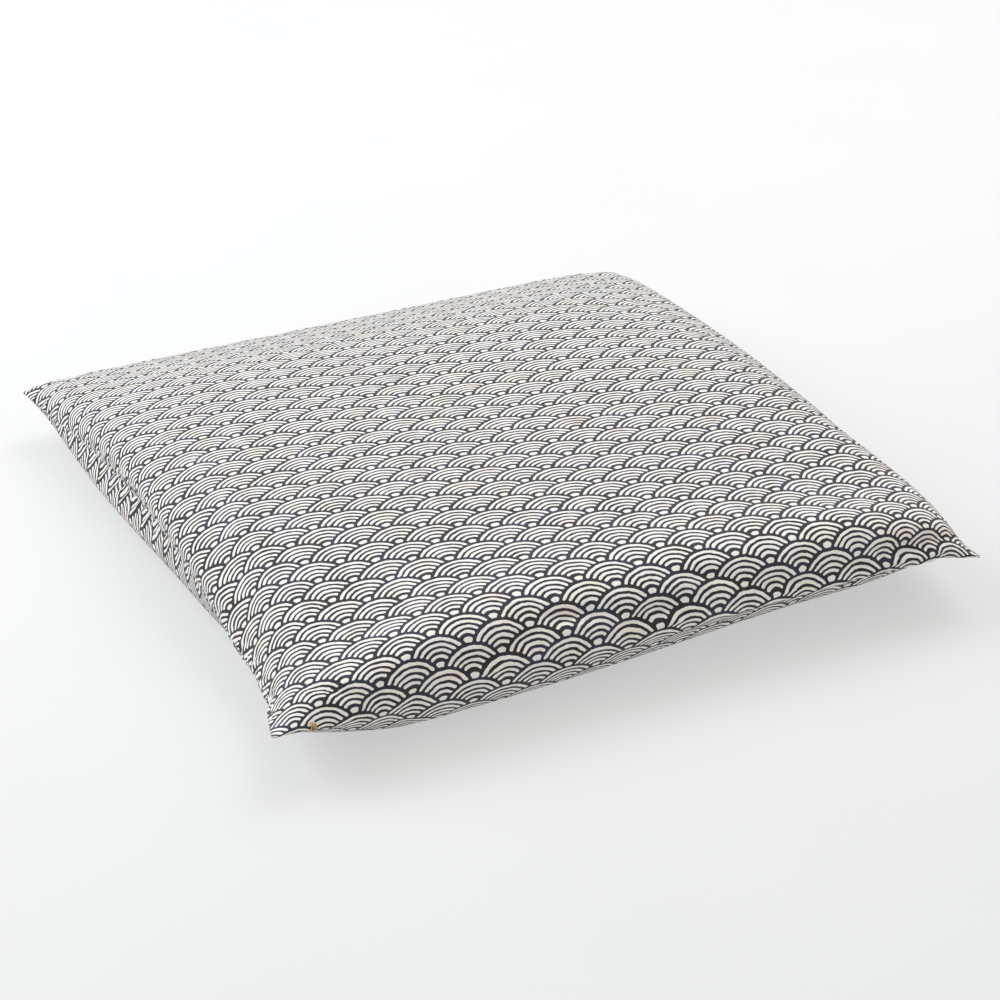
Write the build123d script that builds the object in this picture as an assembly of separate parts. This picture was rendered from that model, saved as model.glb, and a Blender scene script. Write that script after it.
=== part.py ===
from build123d import *
import os
from math import cos, pi, sin

# Square floor cushion: a printed cover, made of one cloth folded at the front edge, sewn at
# both sides and closed by a zip along the back edge, around a pad of cotton wadding in its
# own casing. Millimetres. X runs along the front fold, Y from the front to the zip, Z up.
# The origin is the middle of the face that rests on the floor.

# ---- driving dimensions -------------------------------------------------------------
CUSHION_WIDTH = 542.0
CUSHION_DEPTH = 582.0
CUSHION_THICKNESS = 86.0
SEAM_HEIGHT = 36.0
SIDE_PULL_IN = 5.0
FRONT_PULL_IN = 4.0
EDGE_BOW = 0.5
CORNER_RADIUS = 8.0
CORNER_GROWTH = 0.9

COVER_CLOTH = 0.8
CASING_CLOTH = 0.6
LAYER_GAP = 0.4
PAD_EDGE_GAP = 14.0
SEAM_ALLOWANCE = 10.0
SEAM_END = 26.0
SEAM_STITCH_INSET = 2.6
THREAD_RADIUS = 0.35
TACK_FROM_CORNER = 24.0
TACK_RADIUS = 0.5
TACK_LENGTH = 6.0
TACK_PITCH = 1.1

ZIP_LENGTH = 444.0
ZIP_SLOT_HEIGHT = 7.8
TAPE_WIDTH = 13.0
TAPE_THICKNESS = 0.6
TAPE_TAIL = 6.0
TAPE_PARTING = 1.5
TAPE_HALF_GAP = 0.15
COIL_WIDTH = 1.95
COIL_DEPTH = 1.6
COIL_HALF_GAP = 0.05
COIL_ROUNDING = 0.5
COIL_START = 6.0
STOP_LENGTH = 2.4
STOP_WIDTH = 2.0
STOP_GAP = 0.4
BOTTOM_STOP_GAP = 0.2
BOTTOM_STOP_HALF_WIDTH = 2.4
STITCH_LINE_OFFSET = 2.7

SLIDER_LENGTH = 10.0
SLIDER_WIDTH = 6.4
SLIDER_PLATE = 0.9
SLIDER_CLEARANCE = 0.3
SLIDER_ROUNDING = 1.6
SLIDER_RIM = 0.7
WELD = 0.1
SLIDER_TO_STOP = 5.0
DIVIDER_LENGTH = 2.0
DIVIDER_HALF_WIDTH = 1.1
ARCH_LENGTH = 6.4
ARCH_WIDTH = 1.8
ARCH_RISE = 2.6
ARCH_BAR = 0.9
ARCH_ROUNDING = 1.2
PULL_BAR_RADIUS = 0.5
PULL_LENGTH = 26.0
PULL_WIDTH = 5.2
PULL_THICKNESS = 0.9
PULL_STANDOFF = 0.95
PULL_ROUNDING = 2.2
PULL_RIM = 1.1
WINDOW_PAST_ARCH = 2.0
EYE_RADIUS = 0.9
EYE_FROM_TIP = 4.0

CORE_WIDTH = 300.0
CORE_DEPTH = 330.0
CORE_THICKNESS = 22.0
CORE_CORNER = 60.0
CORE_RIM = 10.0
CLOSING_STITCHES = 24
CLOSING_PITCH = 8.0
CLOSING_LENGTH = 5.0
CLOSING_SLANT = 30.0

# ---- derived dimensions -------------------------------------------------------------
# The pull's arch stands furthest back, so the zip's wall is set in by its height.
ZIP_PROJECTION = COIL_DEPTH / 2 + SLIDER_CLEARANCE + SLIDER_PLATE + ARCH_RISE
FRONT_Y = -CUSHION_DEPTH / 2
ZIP_WALL_Y = CUSHION_DEPTH / 2 - ZIP_PROJECTION
ZIP_FLAT = 5.5
BACK_Y = ZIP_WALL_Y + ZIP_FLAT
TAPE_FRONT_Y = ZIP_WALL_Y - COVER_CLOTH

# Upwards from the seam the sides curve in to the crown, and downwards to the resting face.
CROWN_RISE = CUSHION_THICKNESS - SEAM_HEIGHT
CROWN_INSET = 118.0
BELLY_INSET = 46.0
BANDS = 6


def outline(inset, radius, pull):
    """Cushion outline seen from above: three bowed sides and a straight back."""
    left, right = -CUSHION_WIDTH / 2 + inset, CUSHION_WIDTH / 2 - inset
    front, back = FRONT_Y + inset, BACK_Y - inset
    middle = (front + back) / 2
    side = SIDE_PULL_IN * pull + EDGE_BOW
    fore = FRONT_PULL_IN * pull + EDGE_BOW
    edges = [
        ThreePointArc((left, front), (0, front + fore), (right, front)),
        ThreePointArc((right, front), (right - side, middle), (right, back)),
        Line((right, back), (left, back)),
        ThreePointArc((left, back), (left + side, middle), (left, front)),
    ]
    face = make_face(Curve() + edges)
    return fillet(face.vertices(), radius)


def slices():
    """Yield each horizontal slice from the floor up: side of the seam, height and inset."""
    for step in range(-BANDS, BANDS + 1):
        side = (step > 0) - (step < 0)
        turn = abs(step) / BANDS * pi / 2
        rise = CROWN_RISE if side > 0 else -SEAM_HEIGHT
        reach = CROWN_INSET if side > 0 else BELLY_INSET
        yield side, SEAM_HEIGHT + rise * sin(turn), reach * (1 - cos(turn))


def pillow(skin, edge_gap=0.0):
    """The stuffed form, `skin` inside the cover's face and `edge_gap` more at the seam."""
    faces = []
    for side, height, inset in slices():
        inset = max(inset, edge_gap)
        pull = 1 - inset / CROWN_INSET
        face = outline(inset + skin, CORNER_RADIUS + CORNER_GROWTH * inset, pull)
        faces.append(Pos(0, 0, height - side * skin) * face)
    body = loft(faces, ruled=True)
    flat = ZIP_WALL_Y - skin - edge_gap
    room = 2 * CUSHION_DEPTH
    return body & Pos(0, flat - room / 2, 0) * Box(room, room, room)


def bar(x_from, x_to, y_from, y_to, z_from, z_to):
    """A block between two opposite corners."""
    centre = Pos((x_from + x_to) / 2, (y_from + y_to) / 2, (z_from + z_to) / 2)
    return centre * Box(x_to - x_from, y_to - y_from, z_to - z_from)


def thread_along_x(x_from, x_to, y, z):
    """A straight sewing thread parallel to X."""
    rod = Cylinder(THREAD_RADIUS, x_to - x_from, rotation=(0, 90, 0))
    return Pos((x_from + x_to) / 2, y, z) * rod


def side_arc(side, inset):
    """Arc that follows a side seam, `inset` inside the cushion's edge, between the corners."""
    half = (BACK_Y - FRONT_Y) / 2 - CORNER_RADIUS - SEAM_END
    middle = (BACK_Y + FRONT_Y) / 2
    bow = SIDE_PULL_IN + EDGE_BOW
    whole = (BACK_Y - FRONT_Y) / 2
    radius = (whole**2 + bow**2) / (2 * bow)
    waist = CUSHION_WIDTH / 2 - bow - inset
    end = waist + radius - (radius**2 - half**2) ** 0.5
    return ThreePointArc(
        (side * end, middle - half, SEAM_HEIGHT),
        (side * waist, middle, SEAM_HEIGHT),
        (side * end, middle + half, SEAM_HEIGHT),
    )


# ---- cover --------------------------------------------------------------------------
def seam_allowance(side):
    """The two turned-in edges of the cloth behind a side seam, as one strip."""
    path = side_arc(side, SEAM_ALLOWANCE / 2 + COVER_CLOTH / 2)
    start = Plane(origin=path @ 0, x_dir=(0, 0, 1), z_dir=path % 0)
    return sweep(start * Rectangle(2 * COVER_CLOTH, SEAM_ALLOWANCE), path)


def cover_cloth():
    """Shell of the printed cloth, with the zip's slot at the back and both allowances."""
    shell = pillow(0) - pillow(COVER_CLOTH)
    half_slot = ZIP_SLOT_HEIGHT / 2
    slot = bar(
        -ZIP_LENGTH / 2, ZIP_LENGTH / 2,
        ZIP_WALL_Y - 2, ZIP_WALL_Y + 2,
        SEAM_HEIGHT - half_slot, SEAM_HEIGHT + half_slot,
    )
    return (shell - slot) + seam_allowance(-1) + seam_allowance(1)


def seam_stitching(side):
    """Needle thread and bobbin thread of a side seam, lying on the allowance's two faces."""
    threads = []
    lift = COVER_CLOTH + THREAD_RADIUS
    for face in (-1, 1):
        path = side_arc(side, SEAM_STITCH_INSET)
        section = Plane(origin=path @ 0, z_dir=path % 0) * Circle(THREAD_RADIUS)
        threads.append(Pos(0, 0, face * lift) * sweep(section, path))
    return Compound(threads)


def corner_tack():
    """Three short bars of thread that hold the tuck at the front left corner."""
    x = -CUSHION_WIDTH / 2 + TACK_FROM_CORNER
    bow = (FRONT_PULL_IN + EDGE_BOW) * (1 - (2 * x / CUSHION_WIDTH) ** 2)
    y = FRONT_Y + bow - TACK_RADIUS / 2
    bars = []
    for step in (-1, 0, 1):
        rod = Cylinder(TACK_RADIUS, TACK_LENGTH, rotation=(0, 90, 0))
        bars.append(Pos(x, y, SEAM_HEIGHT + step * TACK_PITCH) * rod)
    return Compound(bars)


# ---- zip ----------------------------------------------------------------------------
SLIDER_END_X = ZIP_LENGTH / 2 - SLIDER_TO_STOP
SLIDER_START_X = SLIDER_END_X - SLIDER_LENGTH
COIL_END_X = SLIDER_END_X - DIVIDER_LENGTH - SLIDER_CLEARANCE


def zip_tape(side):
    """Woven tape behind one edge of the slot; side is +1 above and -1 below."""
    near = SEAM_HEIGHT + side * TAPE_HALF_GAP
    far = SEAM_HEIGHT + side * TAPE_WIDTH
    end = ZIP_LENGTH / 2 + TAPE_TAIL
    tape = bar(
        -end, end,
        TAPE_FRONT_Y - TAPE_THICKNESS, TAPE_FRONT_Y,
        min(near, far), max(near, far),
    )
    # Past the last closed tooth the two tapes part around the slider's divider.
    parting = bar(
        COIL_END_X, end + 1,
        TAPE_FRONT_Y - 2 * TAPE_THICKNESS, TAPE_FRONT_Y + TAPE_THICKNESS,
        SEAM_HEIGHT - TAPE_PARTING, SEAM_HEIGHT + TAPE_PARTING,
    )
    return tape - parting


def zip_coil(side):
    """One side of the closed coil, as a bead with rounded outer edges."""
    near = SEAM_HEIGHT + side * COIL_HALF_GAP
    far = near + side * COIL_WIDTH
    bead = bar(
        -ZIP_LENGTH / 2 + COIL_START, COIL_END_X,
        TAPE_FRONT_Y, TAPE_FRONT_Y + COIL_DEPTH,
        min(near, far), max(near, far),
    )
    outer = bead.edges().filter_by(Axis.X).group_by(Axis.Y)[-1]
    return fillet(outer, COIL_ROUNDING)


def zip_stitching(side):
    """Row that sews the folded cloth edge to the tape, seen outside."""
    z = SEAM_HEIGHT + side * (ZIP_SLOT_HEIGHT / 2 + STITCH_LINE_OFFSET)
    y = ZIP_WALL_Y + THREAD_RADIUS
    return thread_along_x(-ZIP_LENGTH / 2, ZIP_LENGTH / 2, y, z)


def zip_top_stops():
    """A crimped metal stop on each tape, just past the closed slider."""
    stops = []
    for side in (-1, 1):
        near = SEAM_HEIGHT + side * TAPE_PARTING
        far = near + side * STOP_WIDTH
        stops.append(
            bar(
                SLIDER_END_X + STOP_GAP, SLIDER_END_X + STOP_GAP + STOP_LENGTH,
                TAPE_FRONT_Y, TAPE_FRONT_Y + COIL_DEPTH,
                min(near, far), max(near, far),
            )
        )
    return Compound(stops)


def zip_bottom_stop():
    """Metal clamp across both coils at the closed end of the chain."""
    end = -ZIP_LENGTH / 2 + COIL_START - BOTTOM_STOP_GAP
    return bar(
        end - STOP_LENGTH, end,
        TAPE_FRONT_Y, TAPE_FRONT_Y + COIL_DEPTH,
        SEAM_HEIGHT - BOTTOM_STOP_HALF_WIDTH, SEAM_HEIGHT + BOTTOM_STOP_HALF_WIDTH,
    )


PLATE_Y = TAPE_FRONT_Y + COIL_DEPTH + SLIDER_CLEARANCE
BACK_PLATE_Y = TAPE_FRONT_Y - TAPE_THICKNESS - SLIDER_CLEARANCE
ARCH_X = (SLIDER_START_X + SLIDER_END_X) / 2
PULL_Y = PLATE_Y + SLIDER_PLATE + PULL_STANDOFF


def zip_slider():
    """Two plates around the chain, joined by the divider, with the pull's arch in front."""
    half = SLIDER_WIDTH / 2
    front = bar(
        SLIDER_START_X, SLIDER_END_X, PLATE_Y, PLATE_Y + SLIDER_PLATE,
        SEAM_HEIGHT - half, SEAM_HEIGHT + half,
    )
    front = fillet(front.edges().filter_by(Axis.Y), SLIDER_ROUNDING)
    back = bar(
        SLIDER_START_X, SLIDER_END_X, BACK_PLATE_Y - SLIDER_PLATE, BACK_PLATE_Y,
        SEAM_HEIGHT - half, SEAM_HEIGHT + half,
    )
    back = fillet(back.edges().filter_by(Axis.Y), SLIDER_ROUNDING)
    body = front + back
    for side in (-1, 1):
        near, far = side * (half - SLIDER_RIM), side * half
        body += bar(
            SLIDER_START_X + SLIDER_ROUNDING, SLIDER_END_X - SLIDER_ROUNDING,
            TAPE_FRONT_Y + SLIDER_CLEARANCE, PLATE_Y + WELD,
            SEAM_HEIGHT + min(near, far), SEAM_HEIGHT + max(near, far),
        )
    body += bar(
        SLIDER_END_X - DIVIDER_LENGTH, SLIDER_END_X,
        BACK_PLATE_Y - WELD, PLATE_Y + WELD,
        SEAM_HEIGHT - DIVIDER_HALF_WIDTH, SEAM_HEIGHT + DIVIDER_HALF_WIDTH,
    )
    arch_y = PLATE_Y + SLIDER_PLATE
    arch = bar(
        ARCH_X - ARCH_LENGTH / 2, ARCH_X + ARCH_LENGTH / 2,
        arch_y - WELD, arch_y + ARCH_RISE,
        SEAM_HEIGHT - ARCH_WIDTH / 2, SEAM_HEIGHT + ARCH_WIDTH / 2,
    )
    arch = fillet(arch.edges().filter_by(Axis.Z).group_by(Axis.Y)[-1], ARCH_ROUNDING)
    gap = bar(
        ARCH_X - ARCH_LENGTH / 2 + ARCH_BAR, ARCH_X + ARCH_LENGTH / 2 - ARCH_BAR,
        arch_y, arch_y + ARCH_RISE - ARCH_BAR,
        SEAM_HEIGHT - ARCH_WIDTH, SEAM_HEIGHT + ARCH_WIDTH,
    )
    return body + (arch - gap)


def zip_pull():
    """Flat tab with a loop whose cross bar passes under the slider's arch."""
    half = PULL_WIDTH / 2
    blade = bar(
        ARCH_X - PULL_LENGTH, ARCH_X + PULL_BAR_RADIUS,
        PULL_Y - PULL_THICKNESS / 2, PULL_Y + PULL_THICKNESS / 2,
        SEAM_HEIGHT - half, SEAM_HEIGHT + half,
    )
    tip = blade.edges().filter_by(Axis.Y).group_by(Axis.X)[0]
    blade = fillet(tip, PULL_ROUNDING)
    through = 2 * PULL_THICKNESS
    window = bar(
        ARCH_X - ARCH_LENGTH / 2 - WINDOW_PAST_ARCH, ARCH_X + PULL_WIDTH,
        PULL_Y - through, PULL_Y + through,
        SEAM_HEIGHT - half + PULL_RIM, SEAM_HEIGHT + half - PULL_RIM,
    )
    eye_place = Pos(ARCH_X - PULL_LENGTH + EYE_FROM_TIP, PULL_Y, SEAM_HEIGHT)
    eye = eye_place * Cylinder(EYE_RADIUS, 2 * through, rotation=(90, 0, 0))
    cross_bar = Pos(ARCH_X, PULL_Y, SEAM_HEIGHT) * Cylinder(PULL_BAR_RADIUS, PULL_WIDTH)
    return blade - window - eye + cross_bar


# ---- pad ----------------------------------------------------------------------------
CASING_SKIN = COVER_CLOTH + LAYER_GAP
WADDING_SKIN = CASING_SKIN + CASING_CLOTH + LAYER_GAP


def pad_casing():
    """Plain cotton bag around the wadding."""
    return pillow(CASING_SKIN, PAD_EDGE_GAP) - pillow(CASING_SKIN + CASING_CLOTH, PAD_EDGE_GAP)


def pad_closing_stitches():
    """Slanted hand stitches that close the casing's back edge."""
    wall = ZIP_WALL_Y - CASING_SKIN - PAD_EDGE_GAP
    stitches = []
    for index in range(CLOSING_STITCHES):
        x = (index - (CLOSING_STITCHES - 1) / 2) * CLOSING_PITCH
        rod = Rot(0, CLOSING_SLANT, 0) * Cylinder(THREAD_RADIUS, CLOSING_LENGTH)
        stitches.append(Pos(x, wall + THREAD_RADIUS, SEAM_HEIGHT) * rod)
    return Compound(stitches)


def wadding_core():
    """Extra sheets of wadding in the middle, which give the crown."""
    slab = Pos(0, 0, SEAM_HEIGHT) * Box(CORE_WIDTH, CORE_DEPTH, CORE_THICKNESS)
    slab = fillet(slab.edges().filter_by(Axis.Z), CORE_CORNER)
    rims = slab.edges().filter_by(Axis.Z, reverse=True)
    return fillet(rims, CORE_RIM)


def wadding_layer(side):
    """Wadding above (+1) or below (-1) the seam's height, around the core."""
    room = 2 * CUSHION_DEPTH
    half_space = Pos(0, 0, SEAM_HEIGHT + side * room / 2) * Box(room, room, room)
    return (pillow(WADDING_SKIN, PAD_EDGE_GAP) & half_space) - wadding_core()


NODES = {
    "cover_cloth": cover_cloth,
    "left_seam_stitching": lambda: seam_stitching(-1),
    "right_seam_stitching": lambda: seam_stitching(1),
    "corner_tack": corner_tack,
    "zip_tape_upper": lambda: zip_tape(1),
    "zip_tape_lower": lambda: zip_tape(-1),
    "zip_coil_upper": lambda: zip_coil(1),
    "zip_coil_lower": lambda: zip_coil(-1),
    "zip_stitching_upper": lambda: zip_stitching(1),
    "zip_stitching_lower": lambda: zip_stitching(-1),
    "zip_top_stops": zip_top_stops,
    "zip_bottom_stop": zip_bottom_stop,
    "zip_slider": zip_slider,
    "zip_pull": zip_pull,
    "pad_casing": pad_casing,
    "pad_closing_stitches": pad_closing_stitches,
    "wadding_core": wadding_core,
    "wadding_upper_layer": lambda: wadding_layer(1),
    "wadding_lower_layer": lambda: wadding_layer(-1),
}

os.makedirs("parts", exist_ok=True)
for node, make in NODES.items():
    export_step(make(), f"parts/{node}.step")
    print(node)
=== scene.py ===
"""Floor cushion: a printed cotton cover, zipped along its back edge, around a wadded pad.

The cover is one cloth folded at the front edge. It is laid out flat, stuffed by a cloth
simulation, and then opened at the back for the zip. Lengths are metres, in the frame of the
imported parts: X along the front fold, Y from the fold to the zip, Z up, floor at zero.
"""

import logging
import math
from dataclasses import dataclass
from enum import Enum

import bpy
import numpy as np
from mathutils import Matrix, Vector
from mathutils.bvhtree import BVHTree


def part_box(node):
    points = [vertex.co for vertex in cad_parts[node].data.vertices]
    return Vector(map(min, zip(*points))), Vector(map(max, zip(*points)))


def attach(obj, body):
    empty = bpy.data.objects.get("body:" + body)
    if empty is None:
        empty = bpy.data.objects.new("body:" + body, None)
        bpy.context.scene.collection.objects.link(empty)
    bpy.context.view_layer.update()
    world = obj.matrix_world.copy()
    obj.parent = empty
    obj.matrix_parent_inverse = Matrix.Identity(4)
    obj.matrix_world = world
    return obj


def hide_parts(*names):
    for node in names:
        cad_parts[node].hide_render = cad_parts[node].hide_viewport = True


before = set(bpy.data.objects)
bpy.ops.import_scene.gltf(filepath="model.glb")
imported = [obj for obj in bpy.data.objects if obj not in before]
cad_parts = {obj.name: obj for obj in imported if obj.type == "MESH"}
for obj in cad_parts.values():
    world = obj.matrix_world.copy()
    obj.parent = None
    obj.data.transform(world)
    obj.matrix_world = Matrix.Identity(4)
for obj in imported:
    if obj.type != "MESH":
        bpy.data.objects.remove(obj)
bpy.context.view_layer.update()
MM = 0.001
POINTS_PER_STITCH = 6
PROBE_REACH = 0.2
SAME_LINE = 0.1 * MM
LOG = logging.getLogger("cushion")

Sockets = dict[str | int, object]
Settings = dict[str, object]
Triple = tuple[float, float, float]


# ---- shader maths -------------------------------------------------------------------
class Value:
    """A shader socket that takes part in Python expressions."""

    def __init__(self, graph: "Graph", socket: bpy.types.NodeSocket) -> None:
        """Keep the socket and the graph that it belongs to."""
        self.graph = graph
        self.socket = socket

    def math(self, operation: str, *others: "Value | float") -> "Value":
        """Return this value put through a Math node with the other operands."""
        return self.graph.maths(operation, self, *others)

    def __add__(self, other: "Value | float") -> "Value":
        """Return self + other."""
        return self.math("ADD", other)

    def __radd__(self, other: float) -> "Value":
        """Return other + self."""
        return self.graph.maths("ADD", other, self)

    def __sub__(self, other: "Value | float") -> "Value":
        """Return self - other."""
        return self.math("SUBTRACT", other)

    def __rsub__(self, other: float) -> "Value":
        """Return other - self."""
        return self.graph.maths("SUBTRACT", other, self)

    def __mul__(self, other: "Value | float") -> "Value":
        """Return self * other."""
        return self.math("MULTIPLY", other)

    def __rmul__(self, other: float) -> "Value":
        """Return other * self."""
        return self.graph.maths("MULTIPLY", other, self)

    def __truediv__(self, other: "Value | float") -> "Value":
        """Return self / other."""
        return self.math("DIVIDE", other)

    def __lt__(self, other: "Value | float") -> "Value":
        """Return 1 where self is below other, else 0."""
        return self.math("LESS_THAN", other)

    def __abs__(self) -> "Value":
        """Return the value without its sign."""
        return self.math("ABSOLUTE")

    def at_least(self, other: "Value | float") -> "Value":
        """Return the greater of the two."""
        return self.math("MAXIMUM", other)

    def at_most(self, other: "Value | float") -> "Value":
        """Return the lesser of the two."""
        return self.math("MINIMUM", other)

    def ramp(self, low: float, high: float) -> "Value":
        """Return a smooth step from 0 at `low` to 1 at `high`."""
        settings = {"interpolation_type": "SMOOTHSTEP"}
        sockets = {"Value": self, "From Min": low, "From Max": high}
        return self.graph.value("ShaderNodeMapRange", settings, sockets)


class Graph:
    """The node tree of one material."""

    def __init__(self, name: str) -> None:
        """Make an empty material of that name."""
        self.material = bpy.data.materials.new(name)
        self.material.use_nodes = True
        self.tree = self.material.node_tree
        self.tree.nodes.clear()

    def node(
        self, kind: str, settings: Settings | None = None, sockets: Sockets | None = None
    ) -> bpy.types.Node:
        """Add one node.

        Args:
            kind: The node's type.
            settings: Its properties, set before its sockets.
            sockets: A number, colour or Value for each input, by name or place.

        Returns:
            The node.
        """
        made = self.tree.nodes.new(kind)
        for name, setting in (settings or {}).items():
            setattr(made, name, setting)
        for key, given in (sockets or {}).items():
            if isinstance(given, Value):
                self.tree.links.new(given.socket, made.inputs[key])
            else:
                made.inputs[key].default_value = given
        return made

    def value(
        self,
        kind: str,
        settings: Settings | None = None,
        sockets: Sockets | None = None,
        output: str | int = 0,
    ) -> Value:
        """Add one node and return one of its outputs as a Value."""
        return Value(self, self.node(kind, settings, sockets).outputs[output])

    def maths(self, operation: str, *operands: Value | float) -> Value:
        """Return the result of a Math node on the operands."""
        return self.value("ShaderNodeMath", {"operation": operation}, dict(enumerate(operands)))

    def colour_mix(
        self, factor: Value | float, first: object, second: object, blend: str = "MIX"
    ) -> Value:
        """Mix two colours.

        Args:
            factor: 0 for the first, 1 for the second.
            first: A colour or a Value.
            second: A colour or a Value.
            blend: The mixing mode.

        Returns:
            The mixed colour.
        """
        settings = {"data_type": "RGBA", "blend_type": blend, "clamp_factor": True}
        sockets = {"Factor": factor, 6: rgba(first), 7: rgba(second)}
        return self.value("ShaderNodeMix", settings, sockets, 2)

    def place(self, scale: float | Triple) -> Value:
        """Return the piece's own coordinates, scaled evenly or along each axis."""
        each = scale if isinstance(scale, tuple) else (scale, scale, scale)
        return self.scaled(self.value("ShaderNodeTexCoord", output="Object"), each)

    def cloth(self) -> Value:
        """Return the place on the flat cloth."""
        return self.value("ShaderNodeUVMap", {"uv_map": "cloth"})

    def split(self, vector: Value, kind: str = "ShaderNodeSeparateXYZ") -> list[Value]:
        """Return the three parts of a vector, or of a colour with that kind of node."""
        return [Value(self, part) for part in self.node(kind, None, {0: vector}).outputs]

    def scaled(self, vector: Value, scale: Triple) -> Value:
        """Return a vector multiplied along each axis."""
        return self.value("ShaderNodeVectorMath", {"operation": "MULTIPLY"}, {0: vector, 1: scale})

    def noise(
        self, vector: Value, detail: float = 2.0, scale: float = 1.0, output: str = "Fac"
    ) -> Value:
        """Return a noise over the vector, as a number or with output "Color" as a colour."""
        sockets = {"Vector": vector, "Scale": scale, "Detail": detail, "Roughness": 0.55}
        return self.value("ShaderNodeTexNoise", None, sockets, output)

    def finish(
        self, colour: Value, roughness: Value | float, height: Value, depth: float,
        fixed: Settings | None = None,
    ) -> bpy.types.Material:
        """Close the tree with one principled surface.

        Args:
            colour: The base colour.
            roughness: The roughness.
            height: The relief, from 0 to 1.
            depth: What the relief's full range measures, in metres.
            fixed: Values of other sockets, the same all over.

        Returns:
            The material.
        """
        sockets = {"Height": height, "Distance": depth, "Strength": 1.0}
        normal = self.value("ShaderNodeBump", None, sockets)
        given = {"Base Color": colour, "Roughness": roughness, "Normal": normal}
        surface = self.value("ShaderNodeBsdfPrincipled", None, given | (fixed or {}))
        self.node("ShaderNodeOutputMaterial", None, {"Surface": surface})
        return self.material


def rgba(colour: object) -> object:
    """Return a colour of three numbers with a fourth, and anything else unchanged."""
    return (*colour, 1.0) if isinstance(colour, tuple) and len(colour) == 3 else colour


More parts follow.
